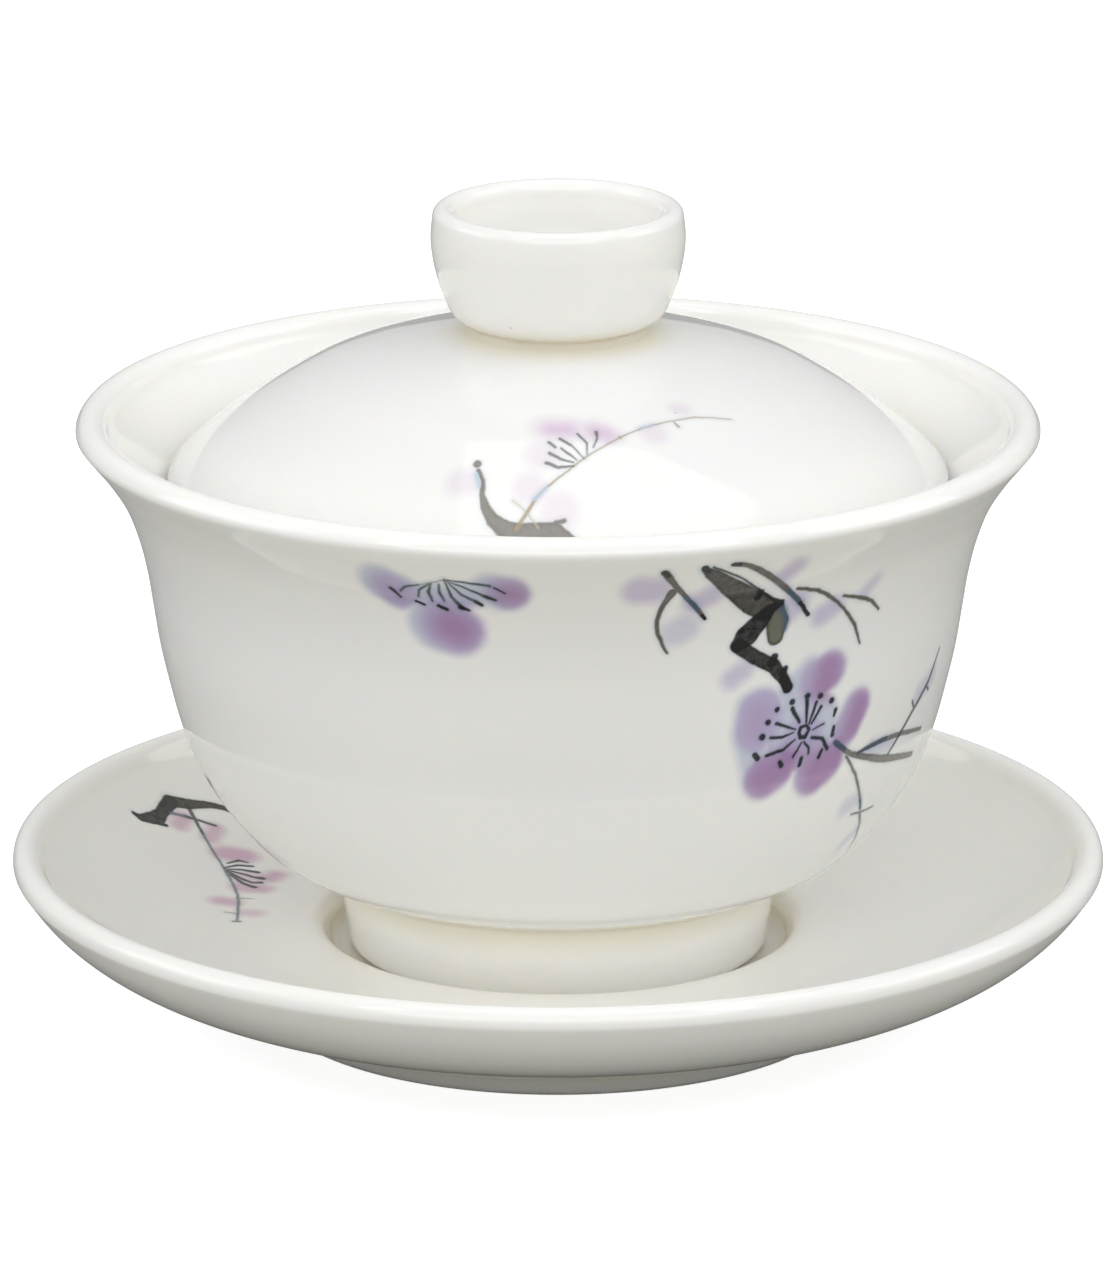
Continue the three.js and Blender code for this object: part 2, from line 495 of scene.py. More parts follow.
def curved(points):
    """The stroke with a point added halfway along each stretch, on a smooth curve through its points."""
    result = [points[0]]
    for index in range(len(points) - 1):
        before = points[max(index - 1, 0)]
        start, end = points[index], points[index + 1]
        after = points[min(index + 2, len(points) - 1)]
        nearby = zip(before, start, end, after)
        result.append(tuple((9 * (b + c) - a - d) / 16 for a, b, c, d in nearby))
        result.append(end)
    return result


class Brush:
    """Lays paint over a colour. Places and widths are in millimetres on the painted surface."""

    def __init__(self, shader, place, colour, faint=1.0):
        self.shader = shader
        self.colour = colour
        self.faint = faint
        jitter = shader.noise(place, SHAKE_SCALE).outputs["Color"]
        steady = shader.vector("SUBTRACT", place, (SHAKE, SHAKE, 0))
        self.place = shader.vector("MULTIPLY_ADD", jitter, (2 * SHAKE, 2 * SHAKE, 0), steady)
        grain = shader.noise(place, GRAIN_SCALE, detail=4.0, roughness=0.6).outputs["Fac"]
        self.grain = shader.spread(grain, 0.35, 0.65, GRAIN_COVER, 1.0)

    def shape(self, strokes):
        """How far the place lies inside the strokes, each a list of (x, y, width); one point is a dab."""
        joined = OUTSIDE
        for points in strokes:
            for start, end in zip(points, points[1:] or points):
                way = Vector((end[0] - start[0], end[1] - start[1], 0))
                reach = way / max(way.length_squared, SHORTEST_SQUARED)
                node = self.shader.add("ShaderNodeGroup", node_tree=stroke_group())
                half = start[2] / 2
                growth = (end[2] - start[2]) / 2
                values = (self.place, joined, (*start[:2], 0), tuple(way), tuple(reach), half, growth)
                for socket, value in zip(node.inputs, values):
                    self.shader.fill(socket, value)
                joined = node.outputs[0]
        return joined

    def cover(self, strokes, strength=1.0, soft=0.3):
        """How strongly the strokes cover the place, fading over the soft width at their edge."""
        return self.shader.spread(self.shape(strokes), -soft, soft, 0.0, strength * self.faint, smooth=True)

    def lay(self, strokes, colour, strength, soft, within=None):
        """Stains the colour below with a wash, which can be held within a shape that was covered before."""
        cover = self.cover(strokes, strength, soft)
        if within is not None:
            cover = self.shader.math("MULTIPLY", cover, within)
        self.colour = self.shader.mix(cover, self.colour, (*colour, 1), "MULTIPLY")

    def ink(self, strokes, colour=INK, strength=1.0, soft=0.12, pooled=0.94):
        """Ink that is darker along its edges, where it pooled, with a faint bleed into the glaze round it."""
        inside = self.shape(strokes)
        bleed = self.shader.spread(inside, *BLEED_EDGE, 0.0, BLEED_STRENGTH * self.faint, smooth=True)
        self.colour = self.shader.mix(bleed, self.colour, BLEED_COLOUR, "MULTIPLY")
        cover = self.shader.spread(inside, -soft, soft, 0.0, strength * self.faint, smooth=True)
        pool = self.shader.spread(inside, *POOL_EDGE, 1.0, pooled, smooth=True)
        cover = self.shader.math("MULTIPLY", self.shader.math("MULTIPLY", cover, self.grain), pool)
        self.colour = self.shader.mix(cover, self.colour, (*colour, 1))


def round_the_bowl(shader, place):
    """Painting coordinates on the bowl: millimetres round from the front, and height."""
    x, y, z = shader.add("ShaderNodeSeparateXYZ", place).outputs
    angle = shader.math("ARCTAN2", x, shader.math("MULTIPLY", y, -1.0))
    across = shader.math("MULTIPLY", angle, BOWL_PAINT_RADIUS)
    return shader.add("ShaderNodeCombineXYZ", across, z, 0.0).outputs[0]


def seen_from_above(shader, place):
    """Painting coordinates on the lid and the saucer: their plan."""
    return shader.vector("MULTIPLY", place, (1, 1, 0))


def paint_bowl_blossom(shader, place, colour):
    """The half-open blossom under the rim, left of the front, hanging down."""
    brush = Brush(shader, round_the_bowl(shader, place), colour)
    left = [(-15.4, 56.2, 4.2), (-14.1, 55.3, 4.3)]
    right = [(-5.6, 56.3, 3.7), (-4.4, 55.9, 4.2)]
    lowest = [(-9.9, 51.7, 5.7), (-9.3, 51.2, 5.4)]
    behind = [(-13.0, 55.4, 2.0), (-9.9, 54.9, 3.0), (-6.8, 55.8, 2.6)]
    petals = brush.cover([left, right, lowest], soft=0.5)
    brush.lay([left, right, lowest, behind, [(-10.6, 51.8, 6.2)]], SKY, strength=1.0, soft=0.7)
    brush.lay([[(-5.6, 54.4, 1.6)]], SKY, strength=0.4, soft=0.8)
    brush.lay(
        [[(-15.0, 55.8, 3.2), (-14.1, 55.0, 3.6)], [(-4.9, 56.0, 3.0), (-4.1, 55.7, 3.6)]],
        LILAC,
        strength=1.0,
        soft=0.8,
        within=petals,
    )
    brush.lay(
        [[(-10.3, 51.8, 4.9), (-9.2, 51.3, 5.2)], [(-11.2, 54.3, 1.6), (-8.2, 54.2, 2.0)]],
        LILAC,
        strength=1.0,
        soft=1.0,
    )
    brush.lay(
        [[(-9.6, 51.6, 3.8), (-9.1, 51.3, 3.8)], [(-4.2, 55.6, 2.6), (-3.9, 55.6, 2.6)]],
        MAUVE,
        strength=1.0,
        soft=1.7,
        within=petals,
    )
    brush.lay([[(-15.0, 55.0, 2.6), (-14.2, 54.7, 2.6)]], MAUVE, strength=0.35, soft=1.2, within=petals)
    brush.ink([[(-12.1, 56.2, 0.12), (-10.6, 56.7, 0.12), (-9.6, 57.1, 0.15)]], TWIG, strength=0.6)
    stamens = [
        [(-9.6, 57.1, 0.18), (-7.6, 56.9, 0.26), (-5.8, 56.6, 0.34)],
        [(-9.5, 57.0, 0.14), (-7.7, 56.1, 0.26), (-6.1, 55.2, 0.38)],
        [(-9.4, 56.9, 0.14), (-8.4, 55.4, 0.28), (-7.0, 54.5, 0.36)],
        [(-9.6, 56.9, 0.18), (-9.3, 55.0, 0.36), (-8.5, 53.9, 0.42)],
        [(-10.2, 56.5, 0.16), (-10.3, 55.4, 0.34), (-10.0, 54.5, 0.22)],
        [(-10.9, 56.5, 0.16), (-11.3, 55.4, 0.34), (-11.1, 54.4, 0.22)],
        [(-11.1, 56.4, 0.18), (-12.1, 55.6, 0.26), (-12.3, 54.8, 0.22)],
        [(-12.1, 56.2, 0.18), (-13.3, 55.9, 0.26), (-13.9, 55.3, 0.22)],
    ]
    brush.ink(stamens, BLOSSOM_STAMEN, strength=0.96)
    tips = [
        [(-5.4, 56.4, 0.26), (-4.6, 55.8, 0.22)],
        [(-6.2, 55.3, 0.42), (-5.4, 54.9, 0.3)],
        [(-7.2, 54.6, 0.4), (-6.7, 54.3, 0.4)],
        [(-8.6, 53.9, 0.56), (-7.9, 53.6, 0.34)],
        [(-10.6, 53.9, 0.42), (-9.9, 53.5, 0.4)],
        [(-12.6, 54.2, 0.36), (-11.9, 53.9, 0.3)],
        [(-14.7, 55.5, 0.4), (-14.0, 54.6, 0.32)],
    ]
    brush.ink(tips)
    return brush.colour


def paint_bowl_branch(shader, place, colour):
    """The old branch and its shoots right of the front, with an open blossom below."""
    brush = Brush(shader, round_the_bowl(shader, place), colour)
    # Buds
    lilac_buds = [
        [(7.0, 56.0, 3.2), (8.2, 55.9, 3.0)],
        [(12.2, 54.0, 2.2), (13.5, 54.7, 2.2)],
        [(16.8, 45.2, 2.2), (17.9, 45.9, 2.2)],
        [(20.2, 56.1, 1.9), (21.0, 57.1, 1.9)],
        [(21.8, 51.7, 2.8), (22.6, 52.4, 2.6)],
        [(25.9, 50.5, 2.4), (27.2, 51.1, 2.2)],
    ]
    blue_buds = [
        [(10.9, 50.9, 3.0), (11.5, 51.3, 3.0)],
        [(30.8, 52.0, 1.6), (31.7, 53.1, 1.4)],
        [(34.6, 28.1, 2.1), (36.1, 28.4, 1.9)],
        [(36.4, 34.1, 1.9), (39.8, 33.9, 1.9)],
        [(39.0, 22.9, 2.1), (40.0, 23.8, 1.9)],
        [(44.3, 38.0, 2.3), (47.0, 38.9, 2.2)],
    ]
    brush.lay(lilac_buds + blue_buds, SKY, strength=0.6, soft=0.8)
    brush.lay(lilac_buds, LILAC, strength=0.65, soft=0.9)
    brush.lay(blue_buds, LILAC, strength=0.3, soft=0.9)
    # Blossom: a pale halo, then five petals, each deeper towards its outer side
    top = [(26.5, 43.6, 4.8), (28.0, 44.2, 4.4)]
    right = [(31.4, 37.5, 4.4), (32.4, 39.5, 4.1)]
    low_right = [(27.8, 33.3, 4.9), (29.4, 34.2, 4.9)]
    low_left = [(21.6, 34.1, 5.0), (22.7, 34.6, 4.9)]
    left = [(20.2, 41.2, 5.3), (20.0, 39.4, 5.1)]
    heart = [(25.5, 38.4, 9.0)]
    petals = brush.cover([top, right, low_right, low_left, left, heart], soft=0.5)
    halo = [
        top,
        right,
        low_right,
        low_left,
        left,
        heart,
        [(25.6, 44.8, 2.8), (23.4, 42.8, 3.0)],
        [(19.3, 41.8, 3.8), (19.1, 39.6, 3.8), (20.2, 35.8, 3.4), (20.8, 33.6, 3.4)],
    ]
    brush.lay(halo, SKY, strength=1.0, soft=0.8)
    brush.lay(
        [left, [(26.4, 43.4, 4.4), (28.1, 44.1, 4.2)], [(25.6, 37.6, 5.0)]],
        LILAC,
        strength=0.95,
        soft=0.9,
        within=petals,
    )
    brush.lay(
        [[(31.6, 37.5, 3.8), (32.6, 39.5, 3.6)], low_right, low_left],
        LILAC,
        strength=1.0,
        soft=0.8,
        within=petals,
    )
    brush.lay(
        [[(27.7, 42.8, 3.8), (28.0, 44.3, 3.8)], [(32.6, 37.5, 3.6), (33.1, 39.5, 3.4)]],
        MAUVE,
        strength=1.0,
        soft=1.6,
        within=petals,
    )
    brush.lay(
        [[(30.0, 34.2, 4.4), (28.5, 33.0, 4.6)], [(21.8, 34.0, 4.6), (23.6, 34.8, 4.2)]],
        MAUVE,
        strength=1.0,
        soft=1.6,
        within=petals,
    )
    brush.lay(
        [[(20.0, 41.0, 3.0), (19.8, 39.6, 2.8)], [(26.8, 35.6, 3.0)]],
        MAUVE,
        strength=0.4,
        soft=1.4,
        within=petals,
    )
    # Old branch
    old_wood = [
        [(12.3, 58.1, 0.7), (13.0, 57.5, 1.2), (15.1, 55.6, 1.9), (18.0, 53.3, 2.7), (19.5, 52.2, 2.4)],
        [(20.7, 52.3, 1.2), (20.9, 50.6, 2.4), (21.0, 49.0, 1.7)],
    ]
    brush.ink(old_wood, BARK, pooled=0.97)
    brush.ink([[(20.9, 51.6, 1.5), (21.0, 50.3, 2.1), (21.0, 49.1, 1.4)]], LEAF, strength=0.8, soft=0.4)
    brush.ink([[(21.0, 52.2, 0.5), (21.8, 50.8, 0.4), (21.9, 49.6, 0.3)]], SLATE, strength=0.8, soft=0.25)
    dark_wood = [
        [(12.2, 58.3, 0.6), (12.7, 57.8, 0.5)],
        [(13.0, 58.3, 0.25), (16.0, 56.5, 0.2), (19.6, 53.6, 0.3), (20.7, 52.9, 0.6)],
        [(18.4, 54.5, 0.6), (18.2, 53.9, 0.8)],
        [(20.8, 52.8, 0.8), (19.8, 52.2, 1.4), (18.8, 50.8, 2.1), (17.9, 49.7, 2.5), (17.1, 48.8, 1.6)],
        [(21.2, 46.9, 0.8), (21.0, 46.3, 1.1)],
        [(22.6, 45.5, 0.6), (22.3, 44.9, 0.9)],
        [(22.5, 44.3, 1.0), (23.1, 43.3, 1.1)],
    ]
    brush.ink(dark_wood, pooled=1.0)
    lower_branch = [
        [(17.2, 48.6, 1.5), (19.2, 47.1, 1.5), (21.2, 45.9, 1.5)],
        [(21.2, 45.9, 1.5), (22.3, 44.6, 1.3), (23.1, 43.4, 1.1)],
    ]
    brush.ink(lower_branch, WET_BARK, pooled=0.99)
    # Shoots
    shoots = [
        [(8.9, 58.0, 0.74), (10.1, 56.2, 0.6), (11.4, 54.6, 0.5), (12.6, 53.2, 0.48), (13.3, 52.2, 0.41)],
        curved(
            [(9.9, 55.5, 0.86), (9.3, 54.1, 0.55), (8.9, 52.4, 0.48), (9.1, 50.8, 0.43), (10.1, 48.7, 0.29)]
        ),
        curved(
            [(14.8, 58.4, 0.48), (16.3, 58.0, 0.6), (18.8, 56.2, 0.66), (21.2, 54.2, 0.6), (23.0, 52.4, 0.5)]
        ),
        curved(
            [
                (22.2, 54.2, 0.38),
                (24.6, 53.5, 0.43),
                (26.8, 52.1, 0.38),
                (28.7, 50.5, 0.36),
                (30.5, 48.5, 0.43),
            ]
        ),
        [(30.5, 48.5, 0.43), (31.7, 46.3, 0.26)],
        curved([(28.0, 52.2, 0.31), (30.3, 51.5, 0.43), (32.1, 50.7, 0.41), (33.5, 49.5, 0.31)]),
    ]
    brush.ink(shoots, TWIG, strength=0.95)
    brush.ink(
        [[(11.2, 54.8, 0.42), (12.6, 53.2, 0.4)], [(21.2, 54.2, 0.42), (22.8, 52.6, 0.38)]],
        SLATE,
        strength=0.8,
        soft=0.2,
    )
    shoot_tips = [
        [(23.0, 52.4, 0.42), (24.2, 50.9, 0.5)],
        [(8.8, 58.1, 0.5), (9.2, 57.6, 0.4)],
        [(13.1, 52.5, 0.34), (13.4, 52.1, 0.34)],
        [(14.7, 58.4, 0.42), (15.3, 58.3, 0.42)],
    ]
    brush.ink(shoot_tips)
    # Heart and stamens of the blossom
    heart_and_stamens = [
        [(25.2, 38.8, 0.48), (25.9, 38.9, 0.36), (26.3, 38.3, 0.41), (25.9, 37.6, 0.48)],
        [(25.9, 37.6, 0.48), (25.3, 37.7, 0.48), (25.1, 38.2, 0.48), (25.2, 38.8, 0.48)],
        [(24.9, 39.4, 0.36), (23.9, 41.0, 0.5)],
        [(25.8, 39.2, 0.29), (25.6, 41.6, 0.53)],
        [(26.2, 39.0, 0.29), (26.8, 41.1, 0.43)],
        [(26.5, 38.9, 0.26), (27.5, 40.5, 0.43)],
        [(26.8, 38.2, 0.19), (28.1, 38.6, 0.24)],
        [(26.8, 37.4, 0.36), (28.2, 37.0, 0.43), (29.2, 35.7, 0.5)],
        [(25.9, 37.1, 0.24), (26.6, 36.3, 0.36), (26.7, 35.6, 0.24)],
        [(25.6, 37.1, 0.24), (24.8, 35.7, 0.34)],
        [(24.7, 37.6, 0.19), (23.4, 36.7, 0.38), (21.5, 36.4, 0.43)],
        [(24.4, 38.4, 0.19), (23.1, 38.1, 0.36), (21.7, 38.3, 0.36)],
        [(24.6, 38.7, 0.19), (22.2, 39.7, 0.41)],
        [(29.5, 39.8, 0.5), (29.4, 39.2, 0.36)],
        [(29.6, 38.0, 0.41), (29.6, 37.1, 0.53)],
        [(25.9, 35.3, 0.48), (25.8, 34.6, 0.53)],
        [(28.5, 35.7, 0.43), (28.2, 35.0, 0.5)],
        [(20.1, 36.7, 0.6), (20.5, 36.2, 0.6)],
        [(23.2, 35.4, 0.48), (23.5, 35.0, 0.6)],
        [(23.8, 41.7, 0.72)],
        [(25.6, 42.0, 0.72)],
        [(27.2, 41.7, 0.74)],
        [(28.8, 40.9, 0.7)],
        [(22.1, 41.2, 0.62)],
        [(21.2, 40.0, 0.67)],
        [(20.7, 38.5, 0.77)],
    ]
    brush.ink(heart_and_stamens, HEART)
    # Twigs that run round the right side
    side_twigs = [
        curved(
            [(30.4, 36.0, 0.6), (33.0, 34.3, 0.6), (38.2, 32.5, 0.86), (42.2, 31.6, 0.8), (47.1, 30.6, 0.6)]
        ),
        curved([(34.1, 34.1, 0.4), (37.4, 34.5, 0.6), (42.0, 34.2, 0.6), (47.6, 33.2, 0.44)]),
        curved([(32.3, 34.2, 0.34), (34.8, 31.4, 0.38), (37.7, 27.3, 0.34)]),
        [(36.4, 26.8, 0.24), (38.2, 26.6, 0.34), (41.0, 26.5, 0.24)],
        curved([(38.2, 26.6, 0.34), (40.6, 24.0, 0.34), (43.6, 20.8, 0.2)]),
    ]
    brush.ink(side_twigs, TWIG, strength=0.86)
    brush.ink(
        [[(30.2, 36.2, 0.6), (31.8, 35.1, 0.5)], [(34.2, 34.1, 0.4), (38.8, 34.5, 0.5)]],
        DEEP_SLATE,
        strength=0.85,
    )
    brush.ink([[(37.0, 28.3, 0.34), (38.0, 27.0, 0.34)]], SLATE, strength=0.9)
    side_sprig = [
        [(40.1, 32.5, 0.36), (43.4, 36.0, 0.56), (46.2, 38.5, 0.56), (48.0, 41.5, 0.3)],
        [(43.8, 36.4, 0.3), (43.0, 37.4, 0.34)],
        [(45.9, 38.2, 0.3), (46.8, 37.6, 0.3)],
    ]
    brush.ink(side_sprig, GREY_TWIG, strength=0.9)
    return brush.colour


def paint_lid(shader, place, colour):
    """A bare hooked branch at the lid's front edge, with a fine shoot and a blossom seen from behind."""
    brush = Brush(shader, seen_from_above(shader, place), colour, faint=0.9)
    petals = [
        [(-0.9, -23.4, 3.6), (1.2, -23.6, 3.6)],
        [(-1.4, -27.0, 3.6)],
        [(3.4, -23.6, 3.4), (4.8, -24.2, 2.8)],
    ]
    brush.lay(petals, LID_PINK, strength=1.0, soft=1.1)
    brush.lay(
        [[(-0.6, -23.8, 1.8), (0.8, -23.8, 1.8)], [(3.6, -23.9, 1.8), (4.7, -24.2, 1.6)]],
        LID_MAUVE,
        strength=0.9,
        soft=1.0,
    )
    brush.lay(
        [[(11.9, -18.6, 2.2)], [(9.3, -23.2, 2.8)], [(-2.8, -30.8, 3.2)]], LID_PINK, strength=1.0, soft=0.9
    )
    brush.lay(
        [[(-9.5, -29.2, 2.8), (-8.6, -29.4, 2.8)], [(0.2, -33.2, 3.8)]], LID_PINK, strength=1.0, soft=1.0
    )
    hooked_branch = [
        [(-7.8, -27.5, 0.85)],
        [
            (-7.7, -28.2, 0.4),
            (-7.2, -29.5, 0.42),
            (-7.3, -31.0, 0.56),
            (-7.0, -32.4, 0.9),
            (-6.3, -33.7, 1.3),
        ],
        [(-6.3, -33.7, 1.3), (-5.0, -34.8, 1.7), (-3.5, -35.4, 2.2), (-0.5, -35.6, 2.6), (1.6, -36.4, 1.4)],
        [(-0.2, -34.4, 0.5), (0.6, -34.2, 0.4)],
    ]
    brush.ink(hooked_branch, LID_BARK, strength=0.96, soft=0.14)
    brush.ink([[(-7.9, -28.7, 0.4), (-7.6, -30.0, 0.36)]], LID_BLUE, strength=0.9)
    fine_shoot = [
        [(-4.0, -34.8, 0.46), (-3.1, -33.5, 0.4), (-2.2, -32.0, 0.3), (-1.0, -30.7, 0.24), (0.7, -29.2, 0.2)],
        [(0.7, -29.2, 0.2), (2.7, -27.3, 0.17), (6.0, -24.5, 0.17), (8.1, -22.8, 0.16), (10.5, -21.2, 0.16)],
        [(10.5, -21.2, 0.16), (13.4, -19.5, 0.16), (16.9, -18.3, 0.12)],
        [(11.2, -20.9, 0.16), (11.7, -21.6, 0.34)],
        [(6.0, -24.5, 0.38)],
    ]
    brush.ink(fine_shoot, LID_SHOOT, strength=0.95)
    brush.ink([[(-4.4, -32.0, 0.14), (-3.1, -33.2, 0.17), (-1.9, -34.8, 0.24)]], LID_TWIG, strength=0.7)
    brush.ink(
        [[(-2.3, -32.1, 0.3), (-1.1, -30.8, 0.26)], [(8.0, -22.8, 0.2), (9.2, -22.0, 0.2)]],
        LID_SKY,
        strength=0.9,
    )
    stamens = [
        [(1.5, -28.4, 0.2), (0.0, -28.6, 0.34), (-1.1, -28.1, 0.42)],
        [(1.5, -28.0, 0.18), (0.2, -27.6, 0.32), (-0.8, -26.9, 0.36)],
        [(1.8, -27.7, 0.16), (0.9, -26.9, 0.3), (0.3, -26.3, 0.22)],
        [(-0.9, -25.6, 0.34), (-0.3, -26.2, 0.3)],
        [(2.5, -27.5, 0.12), (1.3, -26.0, 0.22)],
        [(1.2, -25.9, 0.34), (0.2, -25.1, 0.3)],
        [(2.8, -27.0, 0.12), (2.8, -25.6, 0.24), (1.9, -24.4, 0.26)],
        [(3.4, -26.1, 0.14), (3.8, -24.8, 0.24), (3.7, -24.0, 0.36)],
    ]
    brush.ink(stamens, LID_STAMEN, strength=0.95)
    return brush.colour


def paint_saucer(shader, place, colour):
    """A sprig on the saucer's left: a knotted branch that runs under the bowl, and a drooping shoot."""
    brush = Brush(shader, seen_from_above(shader, place), colour)
    brush.lay(
        [[(-39.3, 23.0, 1.9), (-38.8, 24.9, 1.9)], [(-36.0, 22.2, 1.9), (-35.5, 24.8, 1.9)]],
        ROSE,
        strength=0.7,
        soft=0.8,
    )
    brush.lay(
        [[(-33.9, 19.3, 3.8), (-32.8, 19.2, 3.8)], [(-29.6, 13.5, 2.2), (-29.0, 14.8, 2.2)]],
        ROSE,
        strength=0.85,
        soft=1.1,
    )
    brush.lay(
        [[(-32.0, 10.4, 3.0), (-30.5, 10.3, 2.8)], [(-34.3, 5.6, 2.5), (-33.4, 5.5, 2.5)]],
        ROSE,
        strength=0.75,
        soft=1.0,
    )
    brush.lay([[(-31.5, 2.5, 2.3), (-30.8, 2.3, 2.3)], [(-32.0, 13.6, 3.4)]], ROSE, strength=0.5, soft=0.9)
    knot = [
        [(-43.8, 21.5, 0.6), (-43.0, 21.4, 1.2), (-42.2, 22.0, 1.7), (-41.5, 22.8, 1.8), (-41.1, 24.0, 1.4)],
        [(-41.1, 24.0, 1.4), (-40.6, 25.7, 1.6), (-40.2, 26.7, 1.6)],
        [(-41.6, 21.9, 1.0), (-40.6, 22.0, 0.6)],
    ]
    brush.ink(knot, SAUCER_KNOT, pooled=0.99)
    branch = curved(
        [(-40.2, 26.7, 1.7), (-38.5, 27.5, 1.6), (-36.6, 28.6, 1.1), (-34.8, 29.1, 0.8), (-33.4, 28.5, 0.4)]
    )
    brush.ink([branch], SAUCER_BARK, pooled=0.98)
    twigs = [
        [(-38.6, 27.3, 0.5), (-37.8, 25.5, 0.44), (-36.8, 22.9, 0.36)],
        [(-38.6, 25.1, 0.5), (-37.2, 25.3, 0.46), (-35.6, 25.3, 0.44)],
    ]
    brush.ink(twigs, SAUCER_TWIG, strength=0.9)
    drooping_shoot = [
        [(-40.1, 24.7, 0.5), (-38.6, 25.1, 0.5)],
        curved([(-36.8, 22.9, 0.34), (-35.7, 19.6, 0.32), (-34.4, 15.4, 0.34), (-33.3, 11.1, 0.36)]),
        curved([(-33.3, 11.1, 0.36), (-32.7, 7.7, 0.34), (-32.5, 4.1, 0.34), (-32.5, -0.2, 0.3)]),
        [(-32.8, -0.5, 0.5), (-32.3, -0.4, 0.5)],
    ]
    brush.ink(drooping_shoot, SAUCER_SHOOT, strength=0.85)
    stamens = [
        [(-34.0, 16.7, 0.3), (-32.9, 17.9, 0.5), (-32.0, 17.6, 0.3)],
        [(-34.2, 15.5, 0.3), (-33.0, 16.5, 0.5), (-31.5, 16.7, 0.5)],
        [(-34.2, 15.1, 0.3), (-32.4, 15.4, 0.5), (-30.9, 15.1, 0.7)],
        [(-33.9, 14.8, 0.4), (-32.1, 14.1, 0.5), (-31.3, 13.6, 0.5), (-30.4, 13.4, 0.8)],
        [(-33.9, 14.4, 0.4), (-32.3, 12.6, 0.5), (-31.3, 11.9, 0.5), (-30.5, 12.1, 0.7)],
        [(-33.6, 13.6, 0.4), (-32.3, 11.5, 0.5), (-31.1, 10.6, 0.7)],
    ]
    brush.ink(stamens, SAUCER_STAMEN, strength=0.98)
    brush.ink(
        [[(-32.4, 6.9, 0.24), (-31.2, 7.0, 0.16)], [(-33.8, 2.2, 0.16), (-32.6, 2.0, 0.24)]],
        SAUCER_THORN,
        strength=0.8,
    )
    return brush.colour


# ---------------------------------------------------------------- pieces


def within(across, up, rectangle):
    """Which places lie in a rectangle of the painting's coordinates."""
    left, right, low, high = rectangle
    return (across > left) & (across < right) & (up > low) & (up < high)


def make_saucer():
    """The saucer, with a sprig on the left of its dish and a bare foot."""
    saucer = Turned("saucer", seed=0.4)
    x, y, height = saucer.centres.T
    saucer.give(glaze("saucer_glaze", saucer))
    sprig = ~saucer.outside() & within(x, y, SAUCER_SPRIG)
    saucer.give(glaze("saucer_sprig", saucer, paint_saucer), sprig)
    saucer.give(bare_foot("saucer_foot"), saucer.outside() & (height < BARE_FOOT))
    return saucer.object


def make_bowl():
    """The bowl, with the blossom and the branch on its outside and a bare foot."""
    bowl = Turned("bowl", seed=1.7)
    x, y, height = bowl.centres.T
    across = BOWL_PAINT_RADIUS * np.arctan2(x, -y)
    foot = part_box("bowl")[0].z / MM
    bowl.give(glaze("bowl_glaze", bowl))
    blossom = bowl.outside() & within(across, height, BOWL_BLOSSOM)
    bowl.give(glaze("bowl_blossom", bowl, paint_bowl_blossom), blossom)
    branch = bowl.outside() & within(across, height, BOWL_BRANCH)
    bowl.give(glaze("bowl_branch", bowl, paint_bowl_branch), branch)
    bowl.give(bare_foot("bowl_foot"), bowl.outside() & (height < foot + BARE_FOOT))
    return bowl.object


def make_lid():
    """The lid, glazed all over, with a sprig at its front."""
    lid = Turned("lid", seed=2.9)
    x, y, _ = lid.centres.T
    lid.give(glaze("lid_glaze", lid))
    sprig = ~lid.outside() & within(x, y, LID_SPRIG)
    lid.give(glaze("lid_sprig", lid, paint_lid), sprig)
    return lid.object


for body, make in {"saucer": make_saucer, "bowl": make_bowl, "lid": make_lid}.items():
    piece = make()
    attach(piece, body)
    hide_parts(body)


# ---------------------------------------------------------------- stage, camera and light


def make_floor():
    """A plain pale floor."""
    mesh = bpy.data.meshes.new("floor")
    signs = ((-1, -1), (1, -1), (1, 1), (-1, 1))
    corners = [(across * FLOOR_HALF, back * FLOOR_HALF, 0) for across, back in signs]
    mesh.from_pydata(corners, [], [(0, 1, 2, 3)])
    floor = bpy.data.objects.new("floor", mesh)
    bpy.context.scene.collection.objects.link(floor)
    # The paper looks white, and gives back to the porcelain as little light as a grey table would.
    shader = Shader("floor_paper")
    table = shader.add("ShaderNodeBsdfDiffuse", (*TABLE_GREY, 1))
    paper = shader.add("ShaderNodeBsdfDiffuse", (*PAPER_GREY, 1))
    glow = shader.add("ShaderNodeEmission", (1, 1, 1, 1), PAPER_GLOW)
    paper = shader.add("ShaderNodeAddShader", paper.outputs[0], glow.outputs[0])
    seen = shader.add("ShaderNodeLightPath").outputs["Is Camera Ray"]
    finish = shader.add("ShaderNodeMixShader", seen, table.outputs[0], paper.outputs[0])
    shader.add("ShaderNodeOutputMaterial", finish.outputs[0])
    mesh.materials.append(shader.material)


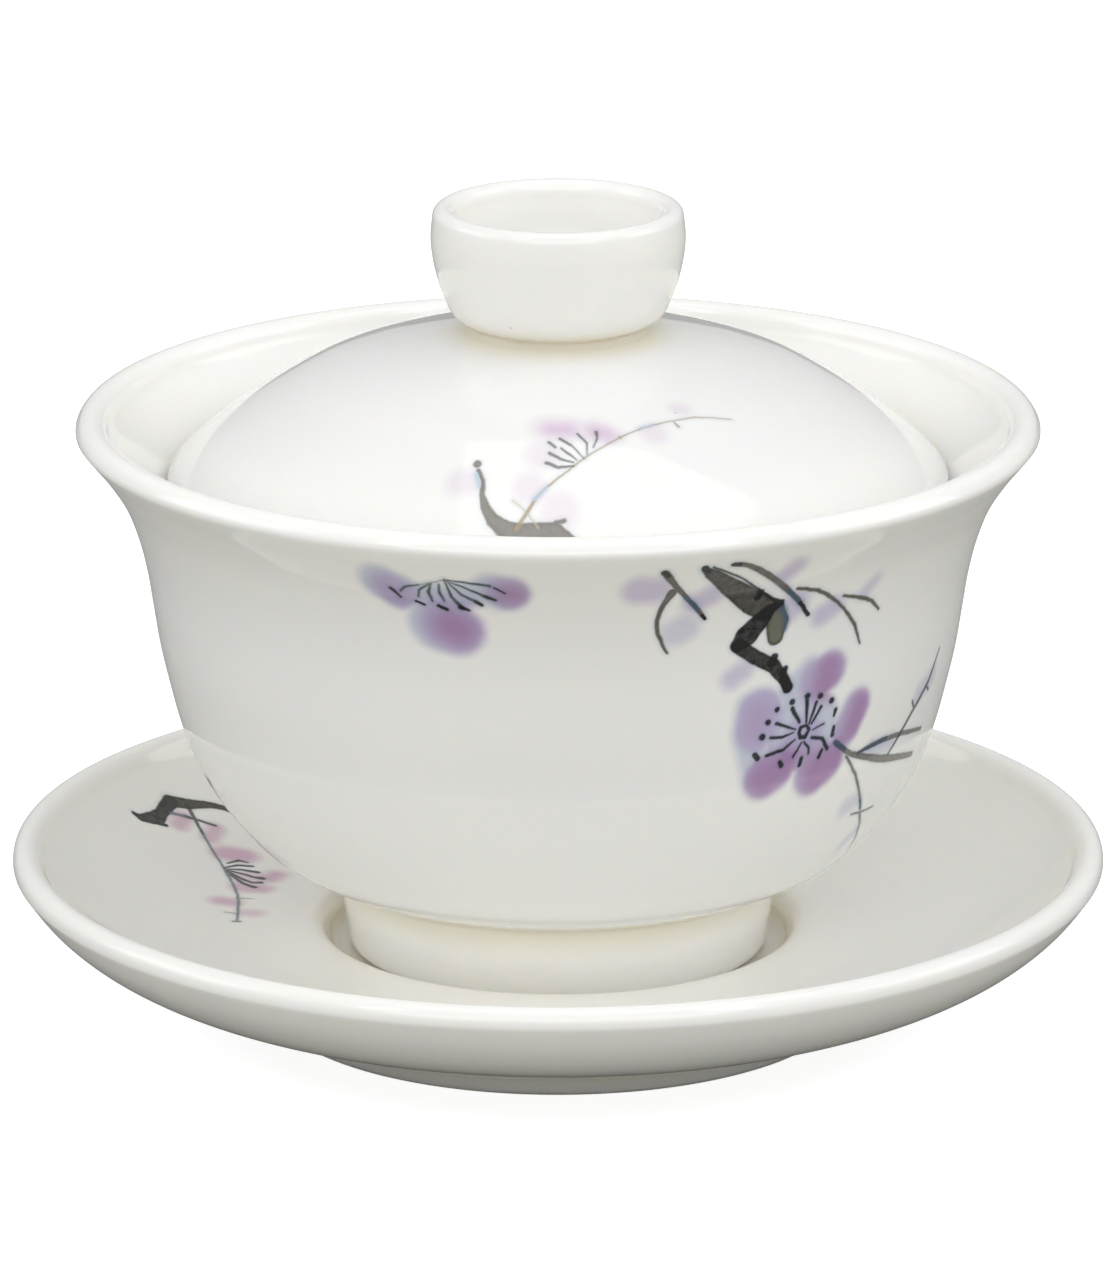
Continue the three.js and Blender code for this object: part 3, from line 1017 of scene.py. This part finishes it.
def make_camera():
    """The camera, at the photo's angle."""
    camera = bpy.data.objects.new("camera", bpy.data.cameras.new("camera"))
    bpy.context.scene.collection.objects.link(camera)
    camera.data.lens = CAMERA_LENS
    back = Vector((0, -math.cos(CAMERA_ELEVATION), math.sin(CAMERA_ELEVATION)))
    camera.location = Vector((CAMERA_SIDE, 0, AIM_HEIGHT)) + back * CAMERA_DISTANCE
    camera.rotation_euler = (-back).to_track_quat("-Z", "Y").to_euler()
    camera.data.clip_start = CAMERA_NEAR
    camera.data.clip_end = CAMERA_FAR
    bpy.context.scene.camera = camera


def at(azimuth, elevation, distance):
    """A place seen from the gaiwan, in degrees and metres; azimuth 0 is the front and 90 the right."""
    azimuth = math.radians(azimuth)
    elevation = math.radians(elevation)
    level = math.cos(elevation)
    way = Vector((math.sin(azimuth) * level, -math.cos(azimuth) * level, math.sin(elevation)))
    return Vector((0, 0, AIM_HEIGHT)) + way * distance


def softbox(name, place, width, height, radiance, down=False, roll=0.0):
    """A rectangular light of an even brightness that faces the gaiwan, or straight down."""
    light = bpy.data.lights.new(name, "AREA")
    light.shape = "RECTANGLE"
    light.size = width
    light.size_y = height
    light.energy = radiance * math.pi * width * height
    lamp = bpy.data.objects.new(name, light)
    bpy.context.scene.collection.objects.link(lamp)
    lamp.location = place
    if down:
        lamp.rotation_euler = (0, 0, roll)
    else:
        away = place - Vector((0, 0, AIM_HEIGHT))
        lamp.rotation_euler = away.to_track_quat("Z", "Y").to_euler()


def make_light():
    """An even room with large softboxes round the gaiwan."""
    world = bpy.data.worlds.new("studio")
    world.use_nodes = True
    background = world.node_tree.nodes["Background"]
    background.inputs["Color"].default_value = (1, 1, 1, 1)
    background.inputs["Strength"].default_value = ROOM_LIGHT
    bpy.context.scene.world = world
    softbox("ceiling", (0, 0.1, 1.15), width=1.7, height=1.5, radiance=0.08, down=True)
    roll = math.radians(-8)
    softbox("overhead", (0.13, 0.04, 0.9), width=0.75, height=0.5, radiance=1.1, down=True, roll=roll)
    place = at(azimuth=0, elevation=24, distance=1.25)
    softbox("front", place, width=1.7, height=0.7, radiance=1.7)
    sides = {"left": -1, "right": 1}
    for side, sign in sides.items():
        place = at(azimuth=sign * 43, elevation=42, distance=1.15)
        softbox(f"{side}_window", place, width=0.12, height=0.5, radiance=4.0)
    for side, sign in sides.items():
        place = at(azimuth=sign * 90, elevation=28, distance=1.3)
        softbox(f"{side}_fill", place, width=0.9, height=0.7, radiance=1.7)


make_floor()
make_camera()
make_light()
bpy.context.scene.view_settings.view_transform = "Standard"
